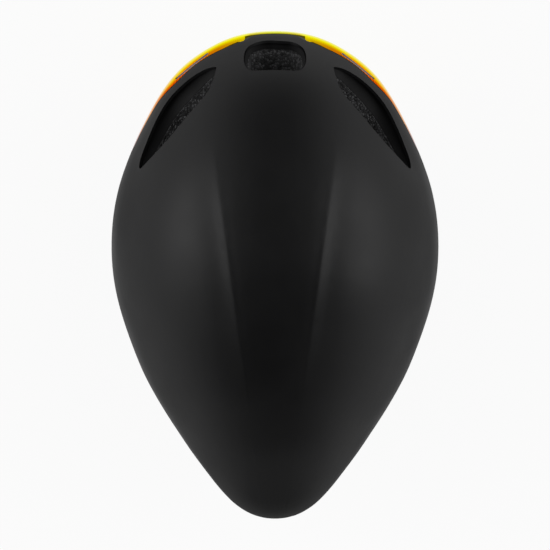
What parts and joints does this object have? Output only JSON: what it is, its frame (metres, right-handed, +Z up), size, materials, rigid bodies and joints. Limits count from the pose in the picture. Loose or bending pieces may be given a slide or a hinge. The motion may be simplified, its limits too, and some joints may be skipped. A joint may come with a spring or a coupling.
{
  "type": "aero time trial helmet",
  "caption": "Short-tailed aero bicycle helmet with a flush mirrored magnetic visor, foam liner, air intakes, dial-tightened cradle and chin strap.",
  "frame": {"origin": "on the surface that the helmet stands on, below the middle of its bounding box", "axes": "+Z up, +Y towards the tail, +X to the wearer's left; the visor faces -Y"},
  "size_m": [0.2289, 0.341, 0.1901],
  "materials": {
    "shell": "matte black paint over moulded polycarbonate",
    "foam": "dark moulded bead foam",
    "duct": "smooth satin black",
    "visor": "mirrored yellow to orange coating",
    "rubber": "matte black",
    "plastic": "fine grained black moulding",
    "webbing": "woven black webbing",
    "padding": "brushed knit over foam",
    "steel": "satin"
  },
  "bodies": {
    "helmet": {"brow_pad": "padding", "buckle_socket": "plastic", "foam_liner": "foam", "frame_magnets": "steel", "front_intake_ring": "duct", "hanger_guide": "plastic", "left_chin_strap": "webbing", "left_crown_pad": "padding", "left_front_strap": "webbing", "left_intake_ring": "duct", "left_rear_strap": "webbing", "left_side_pad": "padding", "left_strap_divider": "plastic", "left_temple_anchor": "plastic", "outer_shell": "shell", "right_chin_strap": "webbing", "right_crown_pad": "padding", "right_front_strap": "webbing", "right_intake_ring": "duct", "right_rear_strap": "webbing", "right_side_pad": "padding", "right_strap_divider": "plastic", "right_temple_anchor": "plastic", "socket_magnet": "steel", "strap_buttons": "plastic", "tail_underpan": "plastic", "visor_frame": "plastic", "visor_gasket": "rubber"},
    "visor": {"visor_lens": "visor", "lens_magnets": "steel"},
    "cradle": {"cradle": "plastic", "cradle_cover": "plastic", "hanger": "webbing", "left_nape_pad": "padding", "right_nape_pad": "padding"},
    "dial": {"dial_pinion": "plastic", "dial_knob": "plastic", "dial_grip": "rubber", "dial_screw": "steel"},
    "left_band": {"left_band": "plastic"},
    "right_band": {"right_band": "plastic"},
    "buckle": {"buckle_plug": "plastic", "plug_magnet": "steel"}
  },
  "joints": [
    {"name": "visor_slide", "type": "slide", "parent": "helmet", "child": "visor", "axis": [0, -1, 0], "range_m": [0, 0.08]},
    {"name": "retention_tilt", "type": "hinge", "parent": "helmet", "child": "cradle", "pos_m": [0, -0.06, 0.06], "axis": [1, 0, 0], "range_deg": [-3.5, 3.5]},
    {"name": "dial_turn", "type": "hinge", "parent": "cradle", "child": "dial", "pos_m": [0, 0.05571, 0.02462], "axis": [0, 0.9563, -0.2924], "range_deg": [0, 143.24]},
    {"name": "left_band_slide", "type": "slide", "parent": "cradle", "child": "left_band", "axis": [-1, 0, 0], "range_m": [0, 0.01]},
    {"name": "right_band_slide", "type": "slide", "parent": "cradle", "child": "right_band", "axis": [1, 0, 0], "range_m": [0, 0.01]},
    {"name": "buckle_slide", "type": "slide", "parent": "helmet", "child": "buckle", "axis": [0, -1, 0], "range_m": [0, 0.016], "deforming": ["left_chin_strap"]}
  ],
  "couplings": [
    {"joint": "right_band_slide", "follows": "left_band_slide", "ratio": 1},
    {"joint": "dial_turn", "follows": "left_band_slide", "rad_per_m": 250}
  ]
}
